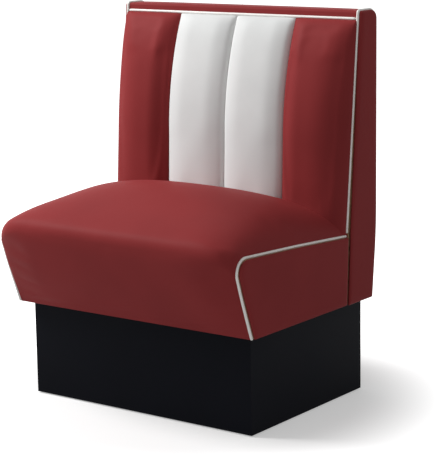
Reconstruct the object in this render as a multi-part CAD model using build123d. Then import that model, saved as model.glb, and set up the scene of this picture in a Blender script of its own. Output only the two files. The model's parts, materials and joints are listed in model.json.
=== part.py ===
from build123d import *
from math import asin, atan2, cos, hypot, pi, sin, sqrt, tan
import os

# Single diner booth bench: a black box plinth, a raked seat unit with a crowned cushion and a
# back unit with four sewn channels. Millimetres, Z up, floor at Z 0. The front faces -Y, and left
# and right are as seen from the front. The origin is on the floor, below the middle of the whole.

# Overall size
overall_width = 700.0
overall_depth = 590.0
overall_height = 926.0

# Upholstery
cover_thickness = 1.2
cover_gap = 0.3
imprint_gap = 0.5
fill_edge_gap = 1.8
welt_radius = 2.7
welt_gap = 0.3
side_panel_thickness = 5.0
side_panel_edge_radius = 2.6
unit_seam_gap = 1.2

# Side outline of the seat unit: setbacks are from the front, depths from the rear face
underside_height = 232.7
seat_rear_height = 399.8
seat_side_setback = 26.5
seat_toe_setback = 82.2
seat_nose_height = 421.8
seat_nose_radius = 32.0
seat_corner_radius = 3.0
seam_foot_depth = 128.7
seam_top_depth = 121.8

# Crown of the seat cushion on its middle line
crown_rise = 24.1
crown_peak_setback = 218.0
crown_arc_share = 0.714
crown_nose_radius = 62.0
crown_nose_height = 490.0
crown_rear_height = 492.0
crown_rear_depth = 152.0
seat_knee_height = 385.0
crown_rear_radius = 16.0
crown_front_arc_share = 0.66
crown_front_height = 330.0
crown_front_bulge = 7.0
crown_sections = 9
side_flatness = 1.2

# Side outline of the back unit
back_top_depth = 70.6
back_top_front_radius = 7.0
back_top_rear_radius = 22.0
back_foot_radius = 6.0
rear_tuck = 16.5
rear_tuck_height = 217.0
rear_tuck_radius = 1000.0

# Channels of the back
channel_count = 4
channel_crown = 18.0
channel_end_crown = 4.0
channel_top_round = 60.0
channel_foot_height = 396.0
lumbar_peak_height = 600.0
lumbar_depth = 134.6
valley_top_proud = 4.1
lumbar_foot_lean = 0.037
shoulder_width = 34.0
lumbar_flank = 28.0
top_round_shares = (0.0, 0.25, 0.5, 0.75, 1.0)
body_shares = (0.15, 0.3, 0.45, 0.6, 0.75, 1.0)
shoulder_share = 0.72

# Band over the top of the back
top_welt_drop = 21.4
top_foam_thickness = 3.7
rear_cover_thickness = 2.7
rear_zone_depth = 45.0

# Timber
board_thickness = 18.0
rail_thickness = 22.0
deck_thickness = 9.0
rear_board_thickness = 6.0
base_board_thickness = 12.0
rail_height = 95.0
top_rail_height = 45.0
middle_rail_height = 60.0
middle_rail_lift = 560.0
glue_block_size = 34.0
glue_block_height = 90.0
board_edge_gap = 0.3
board_corner_radius = 8.0

# Plinth
plinth_side_inset = 28.85
plinth_front_setback = 107.5
plinth_rear_inset = 23.0
plinth_floor_gap = 3.0
corner_block_size = 50.0
corner_block_height = 45.0
corner_block_lift = 20.0
cleat_size = 30.0
stretcher_lift = 40.0

# Levellers
stud_radius = 3.9
stud_length = 42.0
stud_hex_width = 13.0
stud_hex_height = 5.0
pad_radius = 15.0
pad_top_radius = 9.0
pad_height = 8.0
pad_floor = 3.0
nut_bore_radius = 4.2
nut_barrel_radius = 5.5
nut_barrel_length = 12.0
nut_flange_radius = 11.0
nut_flange_thickness = 2.0
socket_clearance = 0.1

# Seat springs
spring_count = 4
spring_wire = 3.6
spring_legs = 13
spring_half_width = 24.0
spring_spacing = 150.0
spring_end = 16.0
spring_turn_share = 0.44
clip_length = 16.0
clip_height = 6.0
clip_width = 34.0
insulator_thickness = 2.0

# Fasteners
bolt_radius = 4.0
bolt_hole_clearance = 0.3
bolt_head_width = 13.0
bolt_head_height = 5.3
bolt_overhang = 4.0
washer_radius = 9.0
washer_thickness = 1.6
nut_height = 6.5
base_bolt_inset = 90.0
back_bolt_height_share = 0.55
back_bolt_spacing = 170.0
screw_radius = 2.0
screw_head_radius = 4.0
screw_head_height = 2.4
screw_grip = 11.0
screw_hole_clearance = 0.2
screw_height_share = 0.65
screw_offset_share = 0.2
base_bolt_rear = 50.0
back_bolt_count = 3

overrun = 30.0

# Places that follow from the sizes above
rear_y = overall_depth / 2
front_y = -overall_depth / 2
half_width = overall_width / 2
board_outer_x = half_width - side_panel_thickness
board_inner_x = board_outer_x - board_thickness
welt_x = board_outer_x - welt_gap - welt_radius
welt_seat = welt_radius + welt_gap
flank_x = welt_x - welt_seat
outline_top = overall_height - welt_radius
top_welt_z = overall_height - top_welt_drop
channel_top = top_welt_z - welt_seat
seat_side_depth = overall_depth - seat_side_setback
seat_toe_depth = overall_depth - seat_toe_setback
crown_peak_depth = overall_depth - crown_peak_setback
crown_span = overall_depth - crown_rear_depth - crown_rear_radius - crown_nose_radius
crown_radius = crown_arc_share * crown_span ** 2 / (8 * crown_rise)
crown_front_span = crown_nose_height - crown_nose_radius - underside_height
crown_front_radius = crown_front_arc_share * crown_front_span ** 2 / (8 * crown_front_bulge)
plinth_rear_y = rear_y - plinth_rear_inset
plinth_front_y = front_y + plinth_front_setback
plinth_depth = plinth_rear_y - plinth_front_y
plinth_half = half_width - plinth_side_inset
seam_y = rear_y - seam_foot_depth
base_board_top = underside_height + base_board_thickness
rail_top = base_board_top + rail_height
rail_joint_y = seam_y - welt_seat
foam_bed = welt_seat - cover_gap
spring_bed = foam_bed + cover_gap + insulator_thickness + cover_gap
clip_bed = spring_bed + spring_wire
rail_bed = clip_bed + clip_height
valley_step = 2 * welt_x / channel_count


def belt_sides(corners):
    """Outward normal and distance of each straight side of a belt round the corner circles."""
    sides = []
    for (y1, z1, r1), (y2, z2, r2) in zip(corners, corners[1:] + corners[:1]):
        span = hypot(y2 - y1, z2 - z1)
        heading = atan2(z2 - z1, y2 - y1) + asin((r1 - r2) / span)
        normal = (sin(heading), -cos(heading))
        sides.append((normal, y1 * normal[0] + z1 * normal[1] + r1))
    return sides


def meet(side, other):
    """Point where two sides cross."""
    (a, b), h = side
    (c, d), k = other
    scale = a * d - b * c
    return ((h * d - b * k) / scale, (a * k - h * c) / scale)


def arc_points(corner, normal, next_normal, inset=0.0):
    """Start, middle and end of the arc between two outward normals of a corner circle."""
    y, z, radius = corner
    middle = (normal[0] + next_normal[0], normal[1] + next_normal[1])
    length = hypot(*middle)
    normals = [normal, (middle[0] / length, middle[1] / length), next_normal]
    return [(y + (radius - inset) * a, z + (radius - inset) * b) for a, b in normals]


def belt_edges(corners, x, inset=0.0):
    """Arc (or None) at each corner and the straight side that follows it, across X at x."""
    sides = [(normal, reach - inset) for normal, reach in belt_sides(corners)]
    turns = []
    for index, corner in enumerate(corners):
        before, after = sides[index - 1], sides[index]
        if corner[2] > inset:
            turns.append(arc_points(corner, before[0], after[0], inset))
        else:
            turns.append([meet(before, after)])
    edges = []
    for index, turn in enumerate(turns):
        points = [(x, *point) for point in turn]
        arc = ThreePointArc(*points) if len(turn) > 1 else None
        following = turns[(index + 1) % len(turns)][0]
        edges.append((arc, Line(points[-1], (x, *following))))
    return edges


def belt(corners, x=0.0, inset=0.0):
    """Face across X at x, with an outline drawn tight round circles given as (y, z, radius)."""
    edges = [edge for pair in belt_edges(corners, x, inset) for edge in pair if edge]
    return make_face(edges)


def plate(corners, x0, x1, inset=0.0):
    """Board across X from x0 to x1 with a belt outline."""
    return extrude(belt(corners, x0, inset), amount=x1 - x0, dir=(1, 0, 0))


def polygon_plate(points, x0, x1):
    """Board across X with a straight-sided outline given as (y, z) points."""
    return plate([(y, z, 0.0) for y, z in points], x0, x1)


def block(x0, x1, y0, y1, z0, z1):
    """Box between two corners."""
    size = (x1 - x0, y1 - y0, z1 - z0)
    centre = ((x0 + x1) / 2, (y0 + y1) / 2, (z0 + z1) / 2)
    return Pos(*centre) * Box(*size)


def rod(radius, start, axis, length):
    """Cylinder from a start point along an axis."""
    return extrude(Plane(origin=start, z_dir=axis) * Circle(radius), amount=length)


def hexagon(width, start, axis, length):
    """Hexagonal prism, width across flats."""
    outline = RegularPolygon(width / 2, 6, major_radius=False)
    return extrude(Plane(origin=start, z_dir=axis) * outline, amount=length)


def along(start, axis, distance):
    """Point a distance along an axis."""
    return tuple(place + distance * step for place, step in zip(start, axis))


def mirrored(solid):
    """The piece on the other side of the middle line."""
    return mirror(solid, about=Plane.YZ)


def group(solids):
    """Loose pieces of one kind, kept as separate solids."""
    return Compound(children=[solid for piece in solids for solid in piece.solids()])


def pair(name, solid):
    """A right-hand piece and its mirror image, under their names."""
    return {name + "_left": mirrored(solid), name + "_right": solid}


# Outlines of the two upholstered units


def seat_corners(bulge):
    """Side outline of the seat: bulge 0 at the side welts, 1 on the middle line."""

    def between(side, middle):
        return side + (middle - side) * bulge

    seam_top_y = rear_y - seam_top_depth - unit_seam_gap / 2
    foot = (seam_y - unit_seam_gap / 2, underside_height, 0.0)
    knee = (seam_top_y, seat_knee_height, 0.0)
    toe = (rear_y - seat_toe_depth, underside_height, 0.0)
    rear_radius = between(seat_corner_radius, crown_rear_radius)
    rear_top_y = between(seam_top_y, rear_y - crown_rear_depth)
    rear_top = between(seat_rear_height, crown_rear_height)
    rear = (rear_top_y - rear_radius, rear_top - rear_radius, rear_radius)
    nose_radius = between(seat_nose_radius, crown_nose_radius)
    nose_front = between(rear_y - seat_side_depth, front_y)
    nose_top = between(seat_nose_height, crown_nose_height)
    nose = (nose_front + nose_radius, nose_top - nose_radius, nose_radius)
    # At the sides the crown circle and the front circle stand only just proud of straight lines.
    peak_y = rear_y - crown_peak_depth
    (ny, nz), reach = belt_sides([rear, nose])[0]
    straight_top = (reach - ny * peak_y) / nz
    peak_top = straight_top + between(side_flatness, crown_rise)
    peak = (peak_y, peak_top - crown_radius, crown_radius)
    (ny, nz), reach = belt_sides([nose, toe])[0]
    face_y = (reach - nz * crown_front_height) / ny
    behind = crown_front_radius - between(side_flatness, crown_front_bulge)
    front = (face_y - ny * behind, crown_front_height - nz * behind, crown_front_radius)
    return [foot, knee, rear, peak, nose, front, toe]


def seat_top_z(y, inset=0.0):
    """Height of the side outline of the seat at y."""
    corners = seat_corners(0.0)
    (ny, nz), reach = belt_sides([corners[2], corners[4]])[0]
    return (reach - inset - ny * y) / nz


def seat_form(inset=0.0):
    """Crowned cushion form, lofted across the width through side outlines."""
    sections = []
    for index in range(crown_sections):
        angle = pi * index / (crown_sections - 1) - pi / 2
        sections.append(belt(seat_corners(cos(angle)), flank_x * sin(angle), inset))
    return loft(sections)


def back_corners():
    """Side outline of the back unit."""
    foot_y = rear_y - rear_tuck - back_foot_radius
    foot_rear = (foot_y, underside_height + back_foot_radius, back_foot_radius)
    tuck = (rear_y - rear_tuck_radius, underside_height + rear_tuck_height, rear_tuck_radius)
    top_rear_y = rear_y - back_top_rear_radius
    top_rear = (top_rear_y, outline_top - back_top_rear_radius, back_top_rear_radius)
    top_front_y = rear_y - back_top_depth + back_top_front_radius
    top_front = (top_front_y, outline_top - back_top_front_radius, back_top_front_radius)
    knee = (rear_y - seam_top_depth + unit_seam_gap / 2, seat_rear_height, 0.0)
    foot_front = (seam_y + unit_seam_gap / 2, underside_height, 0.0)
    return [foot_rear, tuck, top_rear, top_front, knee, foot_front]


def back_front_y(z, inset=0.0):
    """Y of the raked front of the back at height z."""
    corners = back_corners()
    (ny, nz), reach = belt_sides([corners[3], corners[4]])[0]
    return (reach - inset - nz * z) / ny


def ring(corners, x0, x1, outer, inner):
    """Sheet that follows an outline between two insets."""
    return plate(corners, x0, x1, outer) - plate(corners, x0 - overrun, x1 + overrun, inner)


def welt_tube(edges):
    """Piping along straight runs and tangent arcs."""
    path = Wire([edge for edge in edges if edge])
    section = Plane(origin=path @ 0, z_dir=path % 0) * Circle(welt_radius)
    return sweep(section, path=path)


# Plinth


def corner_places():
    """Signs of X and Y at the four corners, with their names."""
    return {
        "front_left": (-1, -1),
        "front_right": (1, -1),
        "rear_left": (-1, 1),
        "rear_right": (1, 1),
    }


def leveller_place(side, end):
    """Axis of a leveller, in the middle of its corner block."""
    x = plinth_half - board_thickness - corner_block_size / 2
    half_depth = plinth_depth / 2 - board_thickness - corner_block_size / 2
    middle_y = (plinth_front_y + plinth_rear_y) / 2
    return side * x, middle_y + end * half_depth


def plinth_screw_lines():
    """Start and direction of each screw that holds a corner block to a panel."""
    z = corner_block_lift + corner_block_height * screw_height_share
    lines = []
    for side, end in corner_places().values():
        x, y = leveller_place(side, end)
        reach = corner_block_size / 2
        offset = corner_block_size * screw_offset_share
        lines.append(((x - side * reach, y - end * offset, z), (side, 0, 0)))
        lines.append(((x - side * offset, y - end * reach, z), (0, end, 0)))
    return lines


def screw(start, axis):
    """Countersunk wood screw with its head flush with the start point."""
    head = rod(screw_head_radius, start, axis, screw_head_height)
    return head + rod(screw_radius, start, axis, corner_block_size + screw_grip)


def screw_hole(start, axis):
    """Pilot hole and head seat of a screw."""
    seat = rod(screw_head_radius + screw_hole_clearance, start, axis, screw_head_height)
    shank_length = corner_block_size + screw_grip + screw_hole_clearance
    return seat + rod(screw_radius + screw_hole_clearance, start, axis, shank_length)


def build_plinth():
    parts = {}
    inner = plinth_half - board_thickness
    front_inner = plinth_front_y + board_thickness
    rear_inner = plinth_rear_y - board_thickness
    low, high = plinth_floor_gap, underside_height
    holes = [screw_hole(start, axis) for start, axis in plinth_screw_lines()]
    front = block(-plinth_half, plinth_half, plinth_front_y, front_inner, low, high)
    rear = block(-plinth_half, plinth_half, rear_inner, plinth_rear_y, low, high)
    parts["plinth_front_panel"] = front - holes
    parts["plinth_rear_panel"] = rear - holes
    side = block(inner, plinth_half, front_inner, rear_inner, low, high)
    parts["plinth_side_panel_left"] = mirrored(side) - holes
    parts["plinth_side_panel_right"] = side - holes
    half_board = board_thickness / 2
    parts["plinth_centre_stretcher"] = block(
        -half_board, half_board, front_inner, rear_inner, stretcher_lift, high
    )
    cleat = block(inner - cleat_size, inner, front_inner, rear_inner, high - cleat_size, high)
    cleats = [cleat, mirrored(cleat)]
    parts["plinth_top_cleats"] = group([piece - base_bolt_holes() for piece in cleats])
    blocks = []
    for side_sign, end in corner_places().values():
        x, y = leveller_place(side_sign, end)
        half = corner_block_size / 2
        top = corner_block_lift + corner_block_height
        piece = block(x - half, x + half, y - half, y + half, corner_block_lift, top)
        barrel_hole = rod(nut_barrel_radius + socket_clearance, (x, y, 0), (0, 0, 1), high)
        blocks.append(piece - barrel_hole - holes)
    parts["plinth_corner_blocks"] = group(blocks)
    parts["plinth_screws"] = group([screw(start, axis) for start, axis in plinth_screw_lines()])
    return parts


def build_levellers():
    parts = {}
    nuts = []
    for name, (side, end) in corner_places().items():
        x, y = leveller_place(side, end)
        parts["leveller_pad_" + name] = leveller_pad(x, y)
        parts["leveller_stud_" + name] = leveller_stud(x, y)
        nuts.append(leveller_nut(x, y))
    parts["leveller_nuts"] = group(nuts)
    return parts


def leveller_pad(x, y):
    """Moulded foot: a low cone with a socket for the stud."""
    body = Pos(x, y, pad_height / 2) * Cone(pad_radius, pad_top_radius, pad_height)
    return body - rod(stud_radius + socket_clearance, (x, y, pad_floor), (0, 0, 1), pad_height)


def leveller_stud(x, y):
    """Threaded stud with a hexagon to turn it by."""
    shank = rod(stud_radius, (x, y, pad_floor), (0, 0, 1), stud_length)
    return shank + hexagon(stud_hex_width, (x, y, pad_height), (0, 0, 1), stud_hex_height)


def leveller_nut(x, y):
    """Flanged insert nut, pressed into the corner block from below."""
    flange_low = corner_block_lift - nut_flange_thickness
    flange = rod(nut_flange_radius, (x, y, flange_low), (0, 0, 1), nut_flange_thickness)
    barrel = rod(nut_barrel_radius, (x, y, flange_low), (0, 0, 1), nut_barrel_length)
    return flange + barrel - rod(nut_bore_radius, (x, y, 0), (0, 0, 1), corner_block_height)


# Bolts between the units


def base_bolt_places():
    """Bolts that hold the seat and the back down on the plinth cleats."""
    x = plinth_half - board_thickness - cleat_size / 2
    ys = (plinth_front_y + base_bolt_inset, seam_y - base_bolt_inset, seam_y + base_bolt_rear)
    return [(side * x, y) for side in (-1, 1) for y in ys]


def base_bolt_holes():
    radius = bolt_radius + bolt_hole_clearance
    low = underside_height - cleat_size - overrun
    height = cleat_size + base_board_thickness + 2 * overrun
    return [rod(radius, (x, y, low), (0, 0, 1), height) for x, y in base_bolt_places()]


def bolt_set(start, axis, grip):
    """Bolt and its nut, each with a washer, through a grip along an axis."""
    outward = tuple(-step for step in axis)
    under_head = along(start, outward, washer_thickness)
    shank_length = washer_thickness + grip + washer_thickness + nut_height + bolt_overhang
    head = hexagon(bolt_head_width, under_head, outward, bolt_head_height)
    bolt = head + rod(bolt_radius, under_head, axis, shank_length)
    hole = rod(bolt_radius + bolt_hole_clearance, under_head, axis, shank_length + overrun)
    washer = rod(washer_radius, start, outward, washer_thickness) - hole
    far = along(start, axis, grip)
    far_washer = rod(washer_radius, far, axis, washer_thickness) - hole
    nut_start = along(far, axis, washer_thickness)
    nut = hexagon(bolt_head_width, nut_start, axis, nut_height) - hole
    return bolt, [washer, far_washer], nut


def back_bolt_lines():
    """Bolts through the rear rail of the seat into the lower rail of the back."""
    z = base_board_top + rail_height * back_bolt_height_share
    start_y = rail_joint_y - rail_thickness
    first = -back_bolt_spacing * (back_bolt_count - 1) / 2
    xs = [first + back_bolt_spacing * index for index in range(back_bolt_count)]
    return [((x, start_y, z), (0, 1, 0)) for x in xs]


def back_bolt_holes():
    radius = bolt_radius + bolt_hole_clearance
    return [rod(radius, along(start, axis, -overrun), axis, 2 * overrun + 2 * rail_thickness)
            for start, axis in back_bolt_lines()]


def build_bolts():
    sets = []
    for x, y in base_bolt_places():
        grip = base_board_thickness + cleat_size
        sets.append(bolt_set((x, y, base_board_top), (0, 0, -1), grip))
    for start, axis in back_bolt_lines():
        sets.append(bolt_set(start, axis, 2 * rail_thickness))
    return {
        "unit_bolts": group([bolt for bolt, washers, nut in sets]),
        "unit_washers": group([washer for bolt, washers, nut in sets for washer in washers]),
        "unit_nuts": group([nut for bolt, washers, nut in sets]),
    }


# Seat unit


def under_seat_top(y0, y1, inset, x_half):
    """All that lies below the top line of the seat between two depths."""
    low = underside_height
    points = [(y0, low), (y1, low), (y1, seat_top_z(y1, inset)), (y0, seat_top_z(y0, inset))]
    return polygon_plate(points, -x_half, x_half)


def build_seat_frame():
    parts = {}
    side = seat_corners(0.0)
    board = plate(side, board_inner_x, board_outer_x, welt_seat)
    rear_corner = board.edges().filter_by(Axis.X).sort_by(lambda edge: sum(edge.center()))[-1]
    parts.update(pair("seat_side_board", fillet(rear_corner, board_corner_radius)))
    toe_y = rear_y - seat_toe_depth
    x = board_inner_x
    base_front = toe_y + foam_bed + cover_gap
    base = block(-x, x, base_front, rail_joint_y, underside_height, base_board_top)
    parts["seat_base_board"] = base - base_bolt_holes()
    nose_y = rear_y - seat_side_depth + seat_nose_radius + rail_thickness
    front_zone = under_seat_top(front_y, nose_y, rail_bed, half_width)
    front_zone = front_zone & block(-x, x, front_y, nose_y, base_board_top, overall_height)
    front = ring(side, -x, x, foam_bed, foam_bed + rail_thickness) & front_zone
    parts["seat_front_rail"] = front
    rear_low = rail_joint_y - rail_thickness
    rear = under_seat_top(rear_low, rail_joint_y, rail_bed, x)
    rear = rear & block(-x, x, rear_low, rail_joint_y, base_board_top, overall_height)
    parts["seat_rear_rail"] = rear - back_bolt_holes()
    parts["seat_glue_blocks"] = group(seat_glue_blocks())
    return parts


def seat_glue_blocks():
    """Square blocks glued into the four corners of the seat box."""
    x = board_inner_x
    top = base_board_top + glue_block_height
    front_y_inner = rear_y - seat_toe_depth + foam_bed + rail_thickness
    rear_y_inner = rail_joint_y - rail_thickness
    size = glue_block_size
    blocks = []
    for side in (-1, 1):
        x0, x1 = sorted((side * x, side * (x - size)))
        for y0 in (front_y_inner, rear_y_inner - size):
            blocks.append(block(x0, x1, y0, y0 + size, base_board_top, top))
    return blocks


def spring_plane(x):
    """Plane of the springs: local X runs forward down the slope, local Y is across."""
    corners = seat_corners(0.0)
    (ny, nz), reach = belt_sides([corners[2], corners[4]])[0]
    y = rail_joint_y - rail_thickness / 2
    origin = (x, y, seat_top_z(y, clip_bed))
    return Plane(origin=origin, x_dir=(0, -nz, ny), z_dir=(0, ny, nz))


def spring_span():
    """Distance between the rear and the front clips."""
    nose_y = rear_y - seat_side_depth + seat_nose_radius
    return rail_joint_y - rail_thickness / 2 - nose_y


def sinuous_spring(x):
    """Zigzag spring with rounded turns, hooked at both ends."""
    span = spring_span()
    step = (span - 2 * spring_end) / spring_legs
    points = [(0, 0), (spring_end, 0)]
    for index in range(spring_legs):
        side = spring_half_width if index % 2 else -spring_half_width
        points += [(spring_end + step * index, side), (spring_end + step * (index + 1), side)]
    points += [(span - spring_end, 0), (span, 0)]
    path = FilletPolyline(*points, radius=step * spring_turn_share)
    start = Plane(origin=path @ 0, z_dir=path % 0)
    wire = sweep(start * Rectangle(spring_wire, spring_wire), path=path)
    return spring_plane(x) * Pos(0, 0, spring_wire / 2) * wire


def build_seat_springs():
    springs, clips = [], []
    for index in range(spring_count // 2):
        x = spring_spacing * index + spring_spacing / 2
        spring = sinuous_spring(x)
        springs += [spring, mirrored(spring)]
        for place in (0.0, spring_span()):
            clip = Box(clip_length, clip_width, clip_height)
            clip = spring_plane(x) * Pos(place, 0, -clip_height / 2) * clip
            clips += [clip, mirrored(clip)]
    side = seat_corners(0.0)
    x = board_inner_x - board_edge_gap
    rear_low = rail_joint_y - rail_thickness
    nose_y = rear_y - seat_side_depth + seat_nose_radius
    sheet = ring(side, -x, x, foam_bed + cover_gap, foam_bed + cover_gap + insulator_thickness)
    sheet = sheet & block(-x, x, nose_y, rear_low, seat_knee_height, overall_height)
    return {
        "seat_springs": group(springs),
        "seat_spring_clips": group(clips),
        "seat_spring_pad": sheet,
    }


def build_seat_upholstery():
    parts = {}
    side = seat_corners(0.0)
    x = flank_x + overrun
    toe_y = rear_y - seat_toe_depth
    open_base_top = underside_height + cover_thickness + cover_gap
    low = underside_height - overrun
    base = block(-x, x, toe_y + cover_thickness, seam_y + overrun, low, open_base_top)
    rear_opening = block(-x, x, seam_y - rail_thickness, seam_y + overrun, low, rail_top)
    parts["seat_cover"] = seat_form() - seat_form(cover_thickness) - base - rear_opening
    foam = seat_form(cover_thickness + cover_gap) - plate(side, -x, x, foam_bed)
    foam_low = block(-x, x, front_y - overrun, rear_y, low, base_board_top + board_edge_gap)
    foam_rear = block(-x, x, 0.0, rear_y, low, seat_knee_height + foam_bed)
    parts["seat_foam"] = foam - foam_low - foam_rear
    panel = plate(side, board_outer_x, half_width)
    parts.update(pair("seat_side_panel", soften(panel)))
    edges = belt_edges(side, welt_x)
    run = [edges[2][1], *edges[3], *edges[4], *edges[5]]
    parts.update(pair("seat_welt", welt_tube(run)))
    return parts


def soften(panel):
    """Round the outer edge of a padded side panel."""
    outer = panel.faces().sort_by(Axis.X)[-1]
    return fillet(outer.edges(), side_panel_edge_radius)


# Back unit


def build_back_frame():
    parts = {}
    side = back_corners()
    x = board_inner_x
    parts.update(pair("back_side_board", plate(side, x, board_outer_x, welt_seat)))
    rear_inset = rear_cover_thickness + cover_gap
    rear_board_zone = block(-x, x, rear_y - rear_zone_depth, rear_y, base_board_top, channel_top)
    rear_board = ring(side, -x, x, rear_inset, rear_inset + rear_board_thickness)
    parts["back_rear_board"] = rear_board & rear_board_zone
    base = block(-x, x, rail_joint_y, plinth_rear_y, underside_height, base_board_top)
    parts["back_base_board"] = base - base_bolt_holes()
    front, back = rail_joint_y, rail_joint_y + rail_thickness
    lower = block(-x, x, front, back, base_board_top, rail_top)
    parts["back_lower_rail"] = lower - back_bolt_holes()
    deck = ring(side, -x, x, welt_seat, welt_seat + deck_thickness)
    deck_zone = block(-x, x, front_y, rear_y, channel_foot_height, channel_top - top_rail_height)
    deck_front = block(-x, x, front_y, rear_y - back_top_depth, underside_height, overall_height)
    parts["back_deck_board"] = deck & deck_zone & deck_front
    top = plate(side, -x, x, foam_bed + top_foam_thickness)
    top_zone = block(-x, x, front_y, rear_y, channel_top - top_rail_height, overall_height)
    inner_rear = plate(side, -x, x, rear_inset + rear_board_thickness)
    parts["back_top_rail"] = top & top_zone & inner_rear
    low = middle_rail_lift
    middle_front = back_front_y(low, welt_seat + deck_thickness)
    middle = block(-x, x, middle_front, middle_front + rail_thickness, low, low + middle_rail_height)
    parts["back_middle_rail"] = middle - deck
    return parts


def valley_y(z):
    """Depth of the sewn lines between the channels at height z."""
    lumbar_y = rear_y - lumbar_depth
    rise = z - lumbar_peak_height
    if rise > 0:
        full_rise = channel_top - lumbar_peak_height
        recess = back_front_y(channel_top) - valley_top_proud - lumbar_y
        radius = (full_rise ** 2 + recess ** 2) / (2 * recess)
        return lumbar_y + radius - sqrt(radius ** 2 - rise ** 2)
    return lumbar_y + rise * lumbar_foot_lean


def channel_stations():
    """Heights of the channel sections, with the crown at each."""
    stations = []
    for share in top_round_shares:
        turn = share * pi / 2
        z = channel_top - channel_top_round * (1 - cos(turn))
        crown = channel_end_crown + (channel_crown - channel_end_crown) * sin(turn)
        stations.append((z, crown))
    start = stations[-1][0]
    for share in body_shares:
        stations.append((start + (channel_foot_height - start) * share, channel_crown))
    return stations


def lower_top(piece, drop):
    """The piece with its top lowered below the ends of the channels."""
    if not drop:
        return piece
    low = channel_top - drop
    return piece - block(-half_width, half_width, front_y, rear_y, low, overall_height)


def middle_channel(inset=0.0, edge=0.0, beyond=0.0):
    """Channel beside the middle line, right-hand one, with all that lies behind it."""
    sections = []
    x0, x1 = inset + edge, valley_step - inset - edge
    for z, crown in channel_stations():
        back = valley_y(z)
        bed = back_front_y(z, foam_bed) + beyond
        arc = ThreePointArc((x0, back, z), ((x0 + x1) / 2, back - crown + inset, z), (x1, back, z))
        rest = Polyline((x1, back, z), (x1, bed, z), (x0, bed, z), (x0, back, z))
        sections.append(make_face([arc, rest]))
    return lower_top(loft(sections), inset)


def outer_channel(inset=0.0, edge=0.0, beyond=0.0):
    """Channel beside the right-hand welt, with a steep flank down to the side board."""
    sections = []
    x0, x1 = valley_step + inset + edge, flank_x - inset - edge
    shoulder_x = flank_x - shoulder_width
    for z, crown in channel_stations():
        back = valley_y(z)
        seam = back_front_y(z)
        bed = back_front_y(z, foam_bed) + beyond
        crown_point = ((x0 + shoulder_x) / 2, back - crown + inset, z)
        shoulder = (shoulder_x, back - crown * shoulder_share + inset, z)
        arc = ThreePointArc((x0, back, z), crown_point, shoulder)
        flank = TangentArc((x1, seam, z), shoulder, tangent=(0, -1, 0))
        rest = Polyline((x1, seam, z), (x1, bed, z), (x0, bed, z), (x0, back, z))
        sections.append(make_face([arc, flank, rest]))
    return lower_top(loft(sections), inset)


def lumbar_form(gap=0.0, beyond=0.0):
    """All that lies behind the sewn lines, between the flanks of the outer channels."""
    x = flank_x - lumbar_flank - gap
    sections = []
    for z, crown in channel_stations():
        front = valley_y(z) + gap
        back = back_front_y(z, foam_bed) + beyond
        corners = [(x, front, z), (x, back, z), (-x, back, z), (-x, front, z)]
        sections.append(make_face(Polyline(*corners, close=True)))
    return lower_top(loft(sections), gap)


def build_channels():
    parts = {}
    imprint = seat_form(-imprint_gap)
    behind = lumbar_form(beyond=overrun)
    skin = cover_thickness
    fill = cover_thickness + cover_gap
    middle = middle_channel() - middle_channel(skin, beyond=overrun) - behind - imprint
    outer = outer_channel() - outer_channel(skin, beyond=overrun) - behind - imprint
    parts["back_channel_white_left"] = mirrored(middle)
    parts["back_channel_white_right"] = middle
    parts["back_channel_red_left"] = mirrored(outer)
    parts["back_channel_red_right"] = outer
    fills = [middle_channel(fill, fill_edge_gap), outer_channel(fill, fill_edge_gap)]
    fills = [piece - behind - imprint for piece in fills]
    parts["back_channel_fills"] = group(fills + [mirrored(piece) for piece in fills])
    parts["back_lumbar_pad"] = lumbar_form(cover_gap) - imprint
    return parts


def build_back_upholstery():
    parts = {}
    side = back_corners()
    middle_y = rear_y - back_top_rear_radius
    split_z = outline_top - back_top_rear_radius * (1 - sin(pi / 4))
    x = flank_x
    band = ring(side, -x, x, 0.0, cover_thickness)
    front_low = block(-x, x, front_y, middle_y, 0.0, top_welt_z + welt_seat)
    rear_low = block(-x, x, middle_y, rear_y + overrun, 0.0, split_z)
    parts["back_top_band"] = band - front_low - rear_low
    inner_x = board_inner_x - board_edge_gap
    bed = cover_thickness + cover_gap
    foam = ring(side, -inner_x, inner_x, bed, bed + top_foam_thickness)
    parts["back_top_foam"] = foam - front_low - block(-x, x, middle_y, rear_y, 0.0, split_z)
    x = board_outer_x
    rear = ring(side, -x, x, 0.0, rear_cover_thickness)
    rear_zone_front = rear_y - rear_zone_depth
    rear_zone = block(-x, x, rear_zone_front, rear_y, base_board_top, split_z - welt_seat)
    parts["back_rear_cover"] = rear & rear_zone
    parts.update(pair("back_side_panel", soften(plate(side, board_outer_x, half_width))))
    edges = belt_edges(side, welt_x)
    normals = [normal for normal, reach in belt_sides(side)]
    diagonal = (normals[1][0] + normals[2][0], normals[1][1] + normals[2][1])
    length = hypot(*diagonal)
    diagonal = (diagonal[0] / length, diagonal[1] / length)
    corner = ThreePointArc(*[(welt_x, *point) for point in arc_points(side[2], diagonal, normals[2])])
    run = [corner, edges[2][1], edges[3][0], edges[3][1]]
    parts.update(pair("back_welt", welt_tube(run)))
    y = back_front_y(top_welt_z)
    parts["back_welt_top"] = rod(welt_radius, (-flank_x, y, top_welt_z), (1, 0, 0), 2 * flank_x)
    return parts


def build_all():
    parts = {}
    parts.update(build_plinth())
    parts.update(build_levellers())
    parts.update(build_bolts())
    parts.update(build_seat_frame())
    parts.update(build_seat_springs())
    parts.update(build_seat_upholstery())
    parts.update(build_back_frame())
    parts.update(build_channels())
    parts.update(build_back_upholstery())
    return parts


def main():
    os.makedirs("parts", exist_ok=True)
    for name, solid in build_all().items():
        export_step(solid, "parts/" + name + ".step")
    print("pieces written")


main()
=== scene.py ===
import json
from math import asin, atan2, cos, hypot, pi, radians, sin, sqrt

import bmesh
import bpy
from mathutils import Matrix, Vector

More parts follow.
